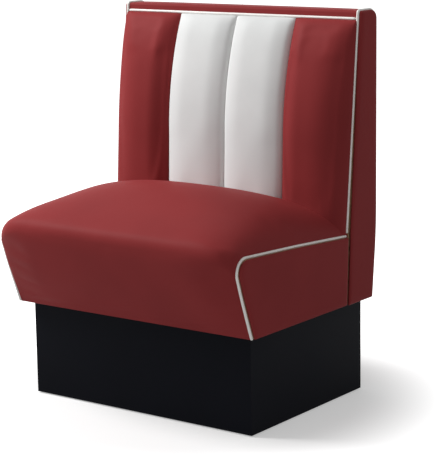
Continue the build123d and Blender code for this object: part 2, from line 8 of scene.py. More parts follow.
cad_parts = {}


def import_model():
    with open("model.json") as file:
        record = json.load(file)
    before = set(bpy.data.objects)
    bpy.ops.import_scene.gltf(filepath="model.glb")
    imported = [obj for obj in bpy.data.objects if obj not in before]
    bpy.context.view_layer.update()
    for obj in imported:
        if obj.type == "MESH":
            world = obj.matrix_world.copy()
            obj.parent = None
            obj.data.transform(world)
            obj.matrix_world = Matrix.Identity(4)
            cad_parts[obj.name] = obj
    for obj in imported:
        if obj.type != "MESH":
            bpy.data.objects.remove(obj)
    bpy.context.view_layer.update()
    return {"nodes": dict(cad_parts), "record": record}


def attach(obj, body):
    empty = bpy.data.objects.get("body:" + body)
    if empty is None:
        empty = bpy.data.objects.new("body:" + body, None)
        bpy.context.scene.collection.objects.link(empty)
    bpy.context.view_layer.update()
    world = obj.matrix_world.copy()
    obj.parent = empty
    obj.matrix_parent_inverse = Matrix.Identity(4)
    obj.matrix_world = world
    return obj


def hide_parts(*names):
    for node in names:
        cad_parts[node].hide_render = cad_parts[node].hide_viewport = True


# Looks of a single booth bench. Metres, Z up, floor at Z 0. The front faces -Y, and left and right
# are as seen from the front. Modelled covers take the place of the soft solids that show.

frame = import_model()
nodes = frame["nodes"]
scene = bpy.context.scene
BODY = "booth"
SIDES = (("left", -1.0), ("right", 1.0))

# Places of the solids
UNDERSIDE = 0.2327
FLANK_X = 0.339
STEP_X = 0.171
CHANNEL_TOP = 0.9016
TOP_WELT_Z = 0.9046

# Seam between the seat unit and the back unit
SEAM_TOP_Y = 0.1732
SEAM_TOP_Z = 0.3998
SEAM_FOOT_Y = 0.1663
SEAM_GAP = 0.0012

# Covers and welts
COVER_EDGE_X = 0.3422
WELT_X = 0.3428
WELT_RADIUS = 0.0035

# Side outline of the seat unit. A pair is the value at the side welts and on the middle line.
# Its corners are the foot, knee, rear, peak, nose, front and toe
TOE_Y = -0.2128
KNEE_Z = 0.385
REAR_MIDDLE_Y = 0.143
REAR_TOP = (SEAM_TOP_Z, 0.4908)
REAR_RADIUS = (0.003, 0.016)
NOSE_Y = (-0.2670, -0.303)
NOSE_TOP = (0.4218, 0.4619)
NOSE_RADIUS = (0.032, 0.0311)
PEAK_Y = -0.0517
PEAK_RISE = (0.0012, 0.0472)
CROWN_RADIUS = 0.280
FRONT_Z = 0.330
FRONT_BULGE = (0.0012, 0.007)
FRONT_RADIUS = 0.450
KNEE, REAR, TOE = 1, 2, 6

# Side outline of the back unit, as circles (y, z, radius): foot of the rear, wide bow of the rear,
# rear and front of the top, and both ends of the seam
BACK_CORNERS = [
    (0.2725, 0.2387, 0.006),
    (-0.705, 0.4497, 1.0),
    (0.273, 0.9013, 0.022),
    (0.2314, 0.9163, 0.007),
    (SEAM_TOP_Y + SEAM_GAP / 2, SEAM_TOP_Z, 0.0),
    (SEAM_FOOT_Y + SEAM_GAP / 2, UNDERSIDE, 0.0),
]
TOP_REAR, TOP_FRONT, SEAM_TOP, SEAM_FOOT = 2, 3, 4, 5

# Sewn valleys between the channels: a slight lean up to the lumbar peak, and an arc above it
LUMBAR_Y = 0.1604
LUMBAR_Z = 0.600
LUMBAR_LEAN = 0.037
LUMBAR_RADIUS = 0.788

# Crease where the back meets the seat
CREASE_Z = 0.401
CREASE_RISE = 0.0876
CREASE_HALF = 0.344


# Side outlines, as belts drawn tight round circles given as (y, z, radius)


def belt_sides(corners):
    """Straight sides of a belt, each as its outward normal and its reach along it."""
    sides = []
    for (y1, z1, r1), (y2, z2, r2) in zip(corners, corners[1:] + corners[:1]):
        span = hypot(y2 - y1, z2 - z1)
        heading = atan2(z2 - z1, y2 - y1) + asin((r1 - r2) / span)
        normal = (sin(heading), -cos(heading))
        sides.append((normal, y1 * normal[0] + z1 * normal[1] + r1))
    return sides


def meet(side, other, inset):
    """Point where two sides cross once both have moved in."""
    (a, b), h = side
    (c, d), k = other
    h, k = h - inset, k - inset
    scale = a * d - b * c
    return (h * d - b * k) / scale, (a * k - h * c) / scale


def outline(corners, steps, inset=0.0, least=0.0015):
    """Points round a belt, and the index at which each turn starts.

    The steps are those of each turn and of the straight side after it, so the number of points
    is the same at every inset. No turn is sharper than the least radius.
    """
    turn_steps, side_steps = steps
    sides = belt_sides(corners)
    count = len(corners)
    turns = []
    for i in range(count):
        before, after = sides[i - 1], sides[i]
        radius = max(corners[i][2] - inset, least)
        cy, cz = meet(before, after, inset + radius)
        start = atan2(before[0][1], before[0][0])
        end = atan2(after[0][1], after[0][0])
        while end < start:
            end += 2 * pi
        turn = []
        for k in range(turn_steps[i] + 1):
            angle = start + (end - start) * k / turn_steps[i]
            turn.append((cy + radius * cos(angle), cz + radius * sin(angle)))
        turns.append(turn)
    points, firsts = [], []
    for i, turn in enumerate(turns):
        firsts.append(len(points))
        points += turn
        (y0, z0), (y1, z1) = turn[-1], turns[(i + 1) % count][0]
        for k in range(1, side_steps[i]):
            share = k / side_steps[i]
            points.append((y0 + (y1 - y0) * share, z0 + (z1 - z0) * share))
    return points, firsts


def seat_corners(bulge):
    """Side outline of the cushion: bulge 0 at the side welts, 1 on the middle line."""

    def between(side, middle):
        return side + (middle - side) * bulge

    top_y = SEAM_TOP_Y - SEAM_GAP / 2
    foot = (SEAM_FOOT_Y - SEAM_GAP / 2, UNDERSIDE, 0.0)
    knee = (top_y, KNEE_Z, 0.0)
    toe = (TOE_Y, UNDERSIDE, 0.0)
    radius = between(*REAR_RADIUS)
    rear = (between(top_y, REAR_MIDDLE_Y) - radius, between(*REAR_TOP) - radius, radius)
    radius = between(*NOSE_RADIUS)
    nose = (between(*NOSE_Y) + radius, between(*NOSE_TOP) - radius, radius)
    (ny, nz), reach = belt_sides([rear, nose])[0]
    peak_top = (reach - ny * PEAK_Y) / nz + between(*PEAK_RISE)
    peak = (PEAK_Y, peak_top - CROWN_RADIUS, CROWN_RADIUS)
    (ny, nz), reach = belt_sides([nose, toe])[0]
    behind = FRONT_RADIUS - between(*FRONT_BULGE)
    front = ((reach - nz * FRONT_Z) / ny - ny * behind, FRONT_Z - nz * behind, FRONT_RADIUS)
    return [foot, knee, rear, peak, nose, front, toe]


def back_front_y(z, inset=0.0):
    """Front face of the back unit at height z."""
    (ny, nz), reach = belt_sides(BACK_CORNERS)[TOP_FRONT]
    return (reach - inset - nz * z) / ny


def valley_y(z):
    """Bottom of a sewn valley at height z."""
    rise = z - LUMBAR_Z
    if rise > 0:
        return LUMBAR_Y + LUMBAR_RADIUS - sqrt(LUMBAR_RADIUS ** 2 - rise ** 2)
    return LUMBAR_Y + rise * LUMBAR_LEAN


def crease_z(x):
    """Height of the crease where the back meets the seat."""
    return CREASE_Z + CREASE_RISE * sqrt(max(0.0, 1 - (x / CREASE_HALF) ** 2))


# Meshes

SAME_POINT = 1e-6
NO_EDGE = 1e-7


def piece(name, points, faces):
    """Smooth object of its own, with double points and empty faces taken out."""
    mesh = bpy.data.meshes.new(name)
    mesh.from_pydata(points, [], faces)
    mesh.update()
    made = bmesh.new()
    made.from_mesh(mesh)
    bmesh.ops.remove_doubles(made, verts=made.verts, dist=SAME_POINT)
    bmesh.ops.dissolve_degenerate(made, edges=made.edges, dist=NO_EDGE)
    bmesh.ops.recalc_face_normals(made, faces=made.faces)
    made.to_mesh(mesh)
    made.free()
    for polygon in mesh.polygons:
        polygon.use_smooth = True
    shown = bpy.data.objects.new(name, mesh)
    scene.collection.objects.link(shown)
    return shown


def grid_faces(rows, columns, closed=False, start=0):
    """Faces of a grid of points listed row by row; closed joins the last column to the first."""
    faces = []
    for i in range(rows - 1):
        for j in range(columns if closed else columns - 1):
            beside = (j + 1) % columns
            corners = ((i, j), (i + 1, j), (i + 1, beside), (i, beside))
            faces.append(tuple(start + row * columns + column for row, column in corners))
    return faces


def fill_ring(count, start=0):
    """Faces that fill a flat convex ring of points, as rungs between its two halves."""
    faces = []
    for k in range((count - 1) // 2):
        last = count - 1 - k
        corners = (k, k + 1, last - 1, last) if k + 1 < last - 1 else (k, k + 1, last)
        faces.append(tuple(start + index for index in corners))
    return faces


def ring_faces(rows, columns):
    """Faces of a closed form made of rings of points, with both its ends filled."""
    faces = grid_faces(rows, columns, closed=True)
    return faces + fill_ring(columns) + fill_ring(columns, (rows - 1) * columns)


def sheet_faces(rows, columns):
    """Faces of a closed sheet: a front grid, a back grid listed after it, and the rim between."""
    count = rows * columns
    faces = grid_faces(rows, columns)
    faces += [face[::-1] for face in grid_faces(rows, columns, start=count)]
    rim = list(range(columns))
    rim += [row * columns + columns - 1 for row in range(1, rows)]
    rim += [(rows - 1) * columns + column for column in range(columns - 2, -1, -1)]
    rim += [row * columns for row in range(rows - 2, 0, -1)]
    for a, b in zip(rim, rim[1:] + rim[:1]):
        faces.append((a, b, b + count, a + count))
    return faces


def ramp(value, low, high):
    """0 at low, 1 at high, smooth between."""
    share = min(1.0, max(0.0, (value - low) / (high - low)))
    return share * share * (3 - 2 * share)


# Cloth: a light pressure from inside, whose result is kept

HELD = "held"
CLOTH_FRAMES = 20
CLOTH_QUALITY = 5
CLOTH_MASS = 0.25
STRETCH_STIFFNESS = 25
SHEAR_STIFFNESS = 12
BENDING_STIFFNESS = 1.2
PRESSURE = 3.0
SMOOTHING = 0.5
FULLY_HELD = 0.99
soft_pieces = []


def pin(shown, weight):
    """Vertex group that holds a piece where weight(point) is 1."""
    group = shown.vertex_groups.new(name=HELD)
    for vertex in shown.data.vertices:
        value = weight(vertex.co)
        if value > 0:
            group.add([vertex.index], value, "REPLACE")


def soften(shown, cap, passes):
    """Make a pinned piece cloth: cap is its points' longest move, passes smooth it afterwards."""
    soft_pieces.append((shown, cap, passes))
    cloth = shown.modifiers.new("Cloth", "CLOTH")
    settings = cloth.settings
    settings.quality = CLOTH_QUALITY
    settings.mass = CLOTH_MASS
    settings.tension_stiffness = STRETCH_STIFFNESS
    settings.compression_stiffness = STRETCH_STIFFNESS
    settings.shear_stiffness = SHEAR_STIFFNESS
    settings.bending_stiffness = BENDING_STIFFNESS
    settings.use_pressure = True
    settings.uniform_pressure_force = PRESSURE
    settings.vertex_group_mass = HELD
    settings.pin_stiffness = 1.0
    settings.effector_weights.gravity = 0.0
    cloth.collision_settings.use_collision = False
    cloth.point_cache.frame_start = 1
    cloth.point_cache.frame_end = CLOTH_FRAMES


def run_cloth():
    """Let the pressure settle, then keep the result."""
    for step in range(1, CLOTH_FRAMES + 1):
        scene.frame_set(step)
    keep_cloth()
    scene.frame_set(1)
    for shown, _, _ in soft_pieces:
        shown.vertex_groups.clear()


def keep_cloth():
    """Move each point to where the cloth took it, but no further than its cap."""
    graph = bpy.context.evaluated_depsgraph_get()
    for shown, cap, passes in soft_pieces:
        settled = shown.evaluated_get(graph).data
        moves = [b.co - a.co for a, b in zip(shown.data.vertices, settled.vertices)]
        for vertex, move in zip(shown.data.vertices, moves):
            if move.length > cap:
                move = move * (cap / move.length)
            vertex.co = vertex.co + move
        shown.modifiers.clear()
        even(shown, passes)


def even(shown, passes):
    """Take out the smallest ripples of the cloth, but not at its held edges."""
    made = bmesh.new()
    made.from_mesh(shown.data)
    made.verts.ensure_lookup_table()
    group = shown.vertex_groups[HELD].index
    layer = made.verts.layers.deform.active
    free = [v for v in made.verts if layer is None or v[layer].get(group, 0.0) < FULLY_HELD]
    axes = {"use_axis_" + axis: True for axis in "xyz"}
    for _ in range(passes):
        bmesh.ops.smooth_vert(made, verts=free, factor=SMOOTHING, **axes)
    made.to_mesh(shown.data)
    made.free()


# Seat cushion: its section across is squarer at the front than at the back

CROWN_FULLNESS = (8.5, 2.55)
FULLNESS_BLEND_Y = (-0.260, -0.080)
CUSHION_ACROSS = 84
CUSHION_STEPS = ([3, 3, 8, 26, 14, 10, 3], [14, 8, 8, 8, 6, 16, 34])
CUSHION_LEAST_RADIUS = 0.002
CUSHION_MOVE = 0.003
CUSHION_PASSES = 3

# Ranges over which the cushion's hold grows outwards and to the rear, and fades above its foot
CUSHION_HELD_X = (COVER_EDGE_X - 0.010, COVER_EDGE_X - 0.003)
CUSHION_HELD_Y = (0.128, 0.150)
CUSHION_FREE_Z = (UNDERSIDE + 0.004, UNDERSIDE + 0.020)


def seat_cushion():
    """Closed cushion of side outlines, from one side welt over the crown to the other."""
    points = []
    rows = CUSHION_ACROSS + 1
    for i in range(rows):
        side = sin(pi * i / CUSHION_ACROSS - pi / 2)
        rings = []
        for fullness in CROWN_FULLNESS:
            bulge = sqrt(max(0.0, 1 - abs(side) ** fullness))
            corners = seat_corners(bulge)
            rings.append(outline(corners, CUSHION_STEPS, least=CUSHION_LEAST_RADIUS)[0])
        for (y1, z1), (y2, z2) in zip(*rings):
            share = ramp((y1 + y2) / 2, *FULLNESS_BLEND_Y)
            points.append((COVER_EDGE_X * side, y1 + (y2 - y1) * share, z1 + (z2 - z1) * share))
    shown = piece("seat_cushion_cover", points, ring_faces(rows, len(points) // rows))

    def held(point):
        edge = ramp(abs(point.x), *CUSHION_HELD_X)
        low = 1 - ramp(point.z, *CUSHION_FREE_Z)
        rear = ramp(point.y, *CUSHION_HELD_Y)
        return max(edge, low, rear)

    pin(shown, held)
    soften(shown, CUSHION_MOVE, CUSHION_PASSES)
    return shown


# Channels of the back. A flank is its run, its share of the crown's height, and its power

WHITE_CROWN = 0.018
WHITE_FLANK = (0.047, 0.60, 1.4)
RED_CROWN = 0.028
RED_FLANK = (0.054, 0.86, 2.0)
VALLEY_DIP = 0.0030
TUCK_RUN = 0.012
TOP_CROWN = 0.004
TOP_ROUND = 3.3

# Outer channels: their flank ends and their roll to the side welt starts at ROLL_X
ROLL_X = 0.257
ROLL_TURN = radians(100)
ROLL_START = 0.5
FLANK_SPREAD = 1.5

# Mesh of a channel
CHANNEL_ACROSS = 56
CHANNEL_DOWN = 96
ROW_SPREAD = 1.12
FOOT_TUCK = 0.018
BACK_INSET = 0.0027
CHANNEL_DEPTH = 0.008
LEAST_DEPTH = 0.0005
CHANNEL_MOVE = 0.004
CHANNEL_PASSES = 10

# Where a channel is held: distances from its seams, its top and the crease, and behind its middle
HELD_SEAM = (0.004, 0.013)
HELD_TOP = (0.010, 0.002)
HELD_CREASE = (0.012, 0.004)
HELD_BEHIND = 0.004
HELD_CORE = 0.034


def channel_crown(z, full):
    """How far a channel stands out of its seams at height z, rounded over at its top."""
    share = min(1.0, (CHANNEL_TOP - z) / (TOP_ROUND * full))
    return TOP_CROWN + (full - TOP_CROWN) * sqrt(max(0.0, 1 - (1 - share) ** 2))


def channel_bow(reach, crown, flank):
    """How far a channel stands out at a reach from its valley: flat top, straight flank, tuck."""
    run, part, power = flank
    slope = part * max(0.0, 1 - reach / run) ** power
    tuck = (1 - part) * max(0.0, 1 - reach / TUCK_RUN) ** 2
    return (crown + VALLEY_DIP) * (1 - slope - tuck) - VALLEY_DIP


def middle_front(share, z):
    """Point of the front of an inner channel, share 0 to 1 across."""
    x = STEP_X * (1 - cos(pi * share)) / 2
    reach = min(x, STEP_X - x)
    return x, valley_y(z) - channel_bow(reach, channel_crown(z, WHITE_CROWN), WHITE_FLANK)


def outer_front(share, z):
    """Point of the front of an outer channel: flank, flat top, then a round roll to the welt."""
    crown = channel_crown(z, RED_CROWN)
    back, seam = valley_y(z), back_front_y(z)
    if share <= ROLL_START:
        x = STEP_X + (ROLL_X - STEP_X) * (share / ROLL_START) ** FLANK_SPREAD
        return x, back - channel_bow(x - STEP_X, crown, RED_FLANK)
    angle = (share - ROLL_START) / (1 - ROLL_START) * ROLL_TURN
    deep = (seam - back + crown) / (1 - cos(ROLL_TURN))
    x = ROLL_X + (COVER_EDGE_X - ROLL_X) * sin(angle) / sin(ROLL_TURN)
    return x, seam - deep * (cos(angle) - cos(ROLL_TURN))


def channel(name, front, sign):
    """Padded channel whose front is front(share, z), from its top down behind the crease."""
    rows, columns = CHANNEL_DOWN + 1, CHANNEL_ACROSS + 1
    points = []
    for i in range(rows):
        fall = (i / CHANNEL_DOWN) ** ROW_SPREAD
        for j in range(columns):
            share = j / CHANNEL_ACROSS
            foot = crease_z(front(share, CHANNEL_TOP)[0]) - FOOT_TUCK
            z = CHANNEL_TOP + (foot - CHANNEL_TOP) * fall
            x, y = front(share, z)
            points.append((sign * x, y, z))
    for x, y, z in list(points):
        deep = min(back_front_y(z, BACK_INSET), max(y, valley_y(z)) + CHANNEL_DEPTH)
        points.append((x, max(deep, y + LEAST_DEPTH), z))
    shown = piece(name, points, sheet_faces(rows, columns))
    inner, outer = front(0, CHANNEL_TOP)[0], front(1, CHANNEL_TOP)[0]

    def held(point):
        near = min(abs(point.x) - inner, outer - abs(point.x))
        side = 1 - ramp(near, *HELD_SEAM)
        top = ramp(point.z, CHANNEL_TOP - HELD_TOP[0], CHANNEL_TOP - HELD_TOP[1])
        crease = crease_z(point.x)
        foot = 1 - ramp(point.z, crease - HELD_CREASE[0], crease + HELD_CREASE[1])
        behind = point.y > valley_y(point.z) + HELD_BEHIND and near > HELD_CORE
        return max(side, top, foot, 1.0 if behind else 0.0)

    pin(shown, held)
    soften(shown, CHANNEL_MOVE, CHANNEL_PASSES)
    return shown


# Padded side panels

# Rings of a panel as (x, inset, setback of the edge beside the welt): a foot that reaches under
# the welt, a groove that is undercut behind it, and a soft edge that rounds over to the face
PANEL_RINGS = [
    (0.3404, 0.0004, -0.0035),
    (0.3413, 0.0004, -0.0035),
    (0.3416, 0.0010, 0.0170),
    (0.3432, 0.0012, 0.0140),
    (0.3458, 0.0010, 0.0105),
    (0.3482, 0.0008, 0.0070),
    (0.3498, 0.0009, 0.0046),
    (0.3514, 0.0018, 0.0032),
    (0.3526, 0.0032, 0.0024),
    (0.3535, 0.0055, 0.0018),
    (0.3541, 0.0090, 0.0012),
    (0.3544, 0.0130, 0.0006),
    (0.3545, 0.0180, 0.0),
]
PANEL_LEAST_RADIUS = 0.0012
SEAT_SETBACK_SHARE = 0.35
BACK_SETBACK_SHARES = {SEAM_TOP: 1.0, SEAM_FOOT: 0.6}
SEAT_PANEL_STEPS = ([3, 4, 12, 12, 8, 3], [12, 14, 10, 6, 20, 24])
BACK_PANEL_STEPS = ([5, 6, 10, 6, 3, 3], [4, 24, 6, 40, 16, 10])


def seat_panel_corners(setback):
    """Outline of a seat panel, without the knee, and how much further in a setback takes it."""
    corners = [corner for k, corner in enumerate(seat_corners(0.0)) if k != KNEE]
    return corners, SEAT_SETBACK_SHARE * max(0.0, setback)


def back_panel_corners(setback):
    """Outline of a back panel with its front edge set back, and no further inset."""
    corners = list(BACK_CORNERS)
    for k, share in BACK_SETBACK_SHARES.items():
        corners[k] = (corners[k][0] + setback * share, corners[k][1], 0.0)
    return corners, 0.0


def side_panel(name, corners_at, steps, sign):
    """Padded panel whose edge beside the welt is set back, deepest at the foot of the groove."""
    points = []
    for x, inset, setback in PANEL_RINGS:
        corners, more = corners_at(setback)
        ring = outline(corners, steps, inset + more, PANEL_LEAST_RADIUS)[0]
        points += [(sign * x, y, z) for y, z in ring]
    rows = len(PANEL_RINGS)
    return piece(name, points, ring_faces(rows, len(points) // rows))


# Band over the top and cover over the rear

WRAP_STEPS = ([6, 8, 14, 8, 2, 2], [6, 24, 10, 40, 6, 4])
WRAP_SPLIT_Z = 0.9168
WRAP_ACROSS = 60
WRAP_PUFF = 0.0008
WRAP_PUFF_POWER = 6
WRAP_ROLL = 0.0016
WRAP_ROLL_ROWS = 3.0
WRAP_ROLL_WIDTH = 0.006
BAND_THICKNESS = 0.004
BAND_SEAM = 0.0012
BAND_HEM = (0.0008, 0.0004, 0.0)
REAR_HALF = 0.3448
REAR_THICKNESS = 0.0025
REAR_HEM = 0.0010


def wrap(name, path, half, thickness):
    """Sheet that follows a path up to half to each side, with rolled edges and a slight puff."""
    normals = []
    for k in range(len(path)):
        a, b = path[max(0, k - 1)], path[min(len(path) - 1, k + 1)]
        length = hypot(b[0] - a[0], b[1] - a[1])
        normals.append(((b[1] - a[1]) / length, -(b[0] - a[0]) / length))
    points = []
    for behind in (False, True):
        for k, ((y, z), (ny, nz)) in enumerate(zip(path, normals)):
            end = min(k, len(path) - 1 - k) / WRAP_ROLL_ROWS
            end_drop = WRAP_ROLL * max(0.0, 1 - end) ** 2
            for j in range(WRAP_ACROSS + 1):
                x = half * sin(pi * j / WRAP_ACROSS - pi / 2)
                near = (half - abs(x)) / WRAP_ROLL_WIDTH
                drop = WRAP_ROLL * max(0.0, 1 - near) ** 2 + end_drop
                out = WRAP_PUFF * (1 - (x / half) ** WRAP_PUFF_POWER) - drop
                if behind:
                    out = -thickness
                points.append((x, y + ny * out, z + nz * out))
    return piece(name, points, sheet_faces(len(path), WRAP_ACROSS + 1))


def wrap_paths():
    """Paths of the top band and of the rear cover, along the back's outline."""
    points, firsts = outline(BACK_CORNERS, WRAP_STEPS)
    around = points[:firsts[SEAM_TOP]]
    split = next(k for k, (y, z) in enumerate(around) if z > WRAP_SPLIT_Z)
    band = [(y, z) for y, z in around[split:] if z > TOP_WELT_Z + BAND_SEAM]
    band += [(back_front_y(TOP_WELT_Z + hem), TOP_WELT_Z + hem) for hem in BAND_HEM]
    rear = [(y, z) for y, z in around[:split] if z > UNDERSIDE + REAR_HEM]
    return band, rear


# Welts

WELT_SIDES = 14
NEARLY_ALONG_X = 0.2
SEAT_WELT_STEPS = ([3, 3, 6, 20, 24, 14, 3], [14, 8, 20, 14, 10, 30, 34])
SEAT_WELT_ENDS = (REAR, TOE)
SEAT_WELT_SKIP = 5
BACK_WELT_STEPS = ([6, 8, 16, 12, 2, 2], [6, 24, 14, 90, 6, 4])
BACK_WELT_ENDS = (TOP_REAR, SEAM_TOP)
BACK_WELT_SKIP = 8
TOP_WELT_STEPS = 60


def welt(name, path):
    """Round piping along a path of 3-D points."""
    points, rows = [], len(path)
    for k, here in enumerate(path):
        a, b = Vector(path[max(0, k - 1)]), Vector(path[min(rows - 1, k + 1)])
        along = (b - a).normalized()
        across = along.cross(Vector((1, 0, 0)))
        if across.length < NEARLY_ALONG_X:
            across = along.cross(Vector((0, 1, 0)))
        across.normalize()
        up = along.cross(across)
        for j in range(WELT_SIDES):
            angle = 2 * pi * j / WELT_SIDES
            offset = across * (WELT_RADIUS * cos(angle)) + up * (WELT_RADIUS * sin(angle))
            points.append(tuple(Vector(here) + offset))
    first = tuple(range(WELT_SIDES))
    last = tuple((rows - 1) * WELT_SIDES + j for j in first)
    faces = grid_faces(rows, WELT_SIDES, closed=True) + [first, last[::-1]]
    return piece(name, points, faces)


def seat_welt_path():
    """From the rear of the seat forward, round the nose and down to the toe."""
    ring, firsts = outline(seat_corners(0.0), SEAT_WELT_STEPS)
    start, end = (firsts[corner] for corner in SEAT_WELT_ENDS)
    return ring[start + SEAT_WELT_SKIP:end + 1]


def back_welt_path():
    """From the rear of the back's top, over its front corner and down to the seat."""
    ring, firsts = outline(BACK_CORNERS, BACK_WELT_STEPS)
    start, end = (firsts[corner] for corner in BACK_WELT_ENDS)
    return ring[start + BACK_WELT_SKIP:end]


def top_welt_path():
    """Straight across the back, under the top band."""
    y = back_front_y(TOP_WELT_Z)
    steps = range(TOP_WELT_STEPS + 1)
    return [(-FLANK_X + 2 * FLANK_X * k / TOP_WELT_STEPS, y, TOP_WELT_Z) for k in steps]


# The soft pieces that settle as cloth

cushion = seat_cushion()
channels = []
for side, sign in SIDES:
    for colour, front in (("white", middle_front), ("red", outer_front)):
        solid = "back_channel_%s_%s" % (colour, side)
        channels.append((channel(solid + "_cover", front, sign), colour + "_vinyl", solid))
run_cloth()

# Materials

SHADER = "Principled BSDF"
DRIFT_SPAN = (0.3, 0.7)
# Heights over which the painted light at the foot of the white channels fades out
PAINTED_LIGHT_FADE_Z = (0.46, 0.80)
MIX_FACTOR, MIX_FIRST, MIX_SECOND, MIX_RESULT = 0, 6, 7, 2
TIMBER_SCALE = (6.0, 90.0, 90.0)
# Colour of the painted light at the foot of the white channels
PAINTED_FOOT_LIGHT = (0.90, 0.96, 0.955)


def material(name, base, roughness, finish=None, constants=None):
    """Material with a finish of textures; the constants are set on the shader's own sockets."""
    made = bpy.data.materials.new(name)
    made.use_nodes = True
    tree = made.node_tree
    shader = tree.nodes[SHADER]
    shader.inputs["Base Color"].default_value = (*base, 1.0)
    shader.inputs["Roughness"].default_value = roughness
    for key, value in (constants or {}).items():
        shader.inputs[key].default_value = value
    if finish:
        finish(tree, shader, base, roughness)
    return made


def node(tree, kind, **values):
    """Node whose sockets or settings of the given names have these values."""
    made = tree.nodes.new(kind)
    for key, value in values.items():
        if key in made.inputs:
            made.inputs[key].default_value = value
        else:
            setattr(made, key, value)
    return made


def map_range(tree, source, reach, low, high, **settings):
    """The source, mapped from its reach to low and high."""
    made = node(tree, "ShaderNodeMapRange", **settings)
    for key, value in zip(("From Min", "From Max", "To Min", "To Max"), (*reach, low, high)):
        made.inputs[key].default_value = value
    tree.links.new(source, made.inputs["Value"])
    return made.outputs["Result"]


def coordinates(tree, scale=(1.0, 1.0, 1.0)):
    """Places on the object, scaled."""
    place = tree.nodes.new("ShaderNodeTexCoord")
    mapping = tree.nodes.new("ShaderNodeMapping")
    mapping.inputs["Scale"].default_value = scale
    tree.links.new(place.outputs["Object"], mapping.inputs["Vector"])
    return mapping.outputs["Vector"]


def texture(tree, kind, place, **values):
    """Outputs of a texture laid over the places."""
    made = node(tree, "ShaderNodeTex" + kind, **values)
    tree.links.new(place, made.inputs["Vector"])
    return made.outputs


def vary_colour(tree, shader, source, base, amount):
    """Colour that drifts a little darker and lighter with a texture."""
    drift = node(tree, "ShaderNodeValToRGB")
    dark = tuple(value * (1 - amount) for value in base)
    light = tuple(min(1.0, value * (1 + amount)) for value in base)
    for element, colour, position in zip(drift.color_ramp.elements, (dark, light), DRIFT_SPAN):
        element.color = (*colour, 1.0)
        element.position = position
    tree.links.new(source, drift.inputs["Fac"])
    tree.links.new(drift.outputs["Color"], shader.inputs["Base Color"])


def vary_roughness(tree, shader, source, roughness, less, more):
    """Roughness that drifts with a texture."""
    drift = map_range(tree, source, (0.0, 1.0), roughness - less, roughness + more)
    tree.links.new(drift, shader.inputs["Roughness"])


def bump(tree, shader, source, distance, strength, before=None):
    """Fine relief on top of the relief before it."""
    made = node(tree, "ShaderNodeBump", Distance=distance, Strength=strength)
    tree.links.new(source, made.inputs["Height"])
    if before is not None:
        tree.links.new(before, made.inputs["Normal"])
    tree.links.new(made.outputs["Normal"], shader.inputs["Normal"])
    return made.outputs["Normal"]


def vinyl(tree, shader, base, roughness):
    """Soft vinyl with slow waves, a leather grain and pores."""
    place = coordinates(tree)
    cells = texture(tree, "Voronoi", place, Scale=620.0, feature="SMOOTH_F1")["Distance"]
    pores = texture(tree, "Noise", place, Scale=1500.0, Detail=3.0)["Fac"]
    cloud = texture(tree, "Noise", place, Scale=7.0, Detail=3.0)["Fac"]
    waves = texture(tree, "Noise", place, Scale=22.0, Detail=2.0)["Fac"]
    vary_colour(tree, shader, cloud, base, amount=0.05)
    vary_roughness(tree, shader, pores, roughness, less=0.05, more=0.08)
    large = bump(tree, shader, waves, distance=0.0015, strength=0.25)
    grain = bump(tree, shader, cells, distance=0.0002, strength=0.35, before=large)
    bump(tree, shader, pores, distance=0.0001, strength=0.25, before=grain)


def vinyl_painted_light_at_foot(tree, shader, base, roughness):
    """Vinyl with painted light towards the foot of a channel: a little cooler and lighter there,
    against the shade and the red light of the crease.
    """
    vinyl(tree, shader, base, roughness)
    drift = shader.inputs["Base Color"].links[0].from_socket
    place = tree.nodes.new("ShaderNodeTexCoord")
    height = tree.nodes.new("ShaderNodeSeparateXYZ")
    tree.links.new(place.outputs["Object"], height.inputs["Vector"])
    # Painted light: the colour turns lighter and cooler towards the channel's foot
    fade = map_range(tree, height.outputs["Z"], PAINTED_LIGHT_FADE_Z, 1.0, 0.0, interpolation_type="SMOOTHSTEP")
    blend = node(tree, "ShaderNodeMix", data_type="RGBA")
    blend.inputs[MIX_SECOND].default_value = (*PAINTED_FOOT_LIGHT, 1.0)
    tree.links.new(fade, blend.inputs[MIX_FACTOR])
    tree.links.new(drift, blend.inputs[MIX_FIRST])
    tree.links.new(blend.outputs[MIX_RESULT], shader.inputs["Base Color"])


def laminate(tree, shader, base, roughness):
    """Smooth board with a very fine grain."""
    place = coordinates(tree)
    fine = texture(tree, "Noise", place, Scale=900.0, Detail=4.0)["Fac"]
    cloud = texture(tree, "Noise", place, Scale=5.0, Detail=3.0)["Fac"]
    vary_colour(tree, shader, cloud, base, amount=0.12)
    vary_roughness(tree, shader, cloud, roughness, less=0.06, more=0.06)
    bump(tree, shader, fine, distance=0.0001, strength=0.3)


def timber(tree, shader, base, roughness):
    """Wood with its grain along X."""
    place = coordinates(tree, TIMBER_SCALE)
    grain = texture(tree, "Noise", place, Scale=1.0, Detail=5.0, Distortion=0.6)["Fac"]
    vary_colour(tree, shader, grain, base, amount=0.22)
    vary_roughness(tree, shader, grain, roughness, less=0.08, more=0.08)
    bump(tree, shader, grain, distance=0.0004, strength=0.35)


def porous(tree, shader, base, roughness):
    """Foam or felt, with open cells."""
    place = coordinates(tree)
    cells = texture(tree, "Voronoi", place, Scale=420.0)["Distance"]
    cloud = texture(tree, "Noise", place, Scale=60.0, Detail=3.0)["Fac"]
    vary_colour(tree, shader, cloud, base, amount=0.12)
    bump(tree, shader, cells, distance=0.0008, strength=0.6)


def metal(tree, shader, base, roughness):
    """Metal with faint marks."""
    place = coordinates(tree)
    fine = texture(tree, "Noise", place, Scale=260.0, Detail=4.0)["Fac"]
    vary_colour(tree, shader, fine, base, amount=0.10)
    vary_roughness(tree, shader, fine, roughness, less=0.08, more=0.10)
    bump(tree, shader, fine, distance=0.0001, strength=0.2)


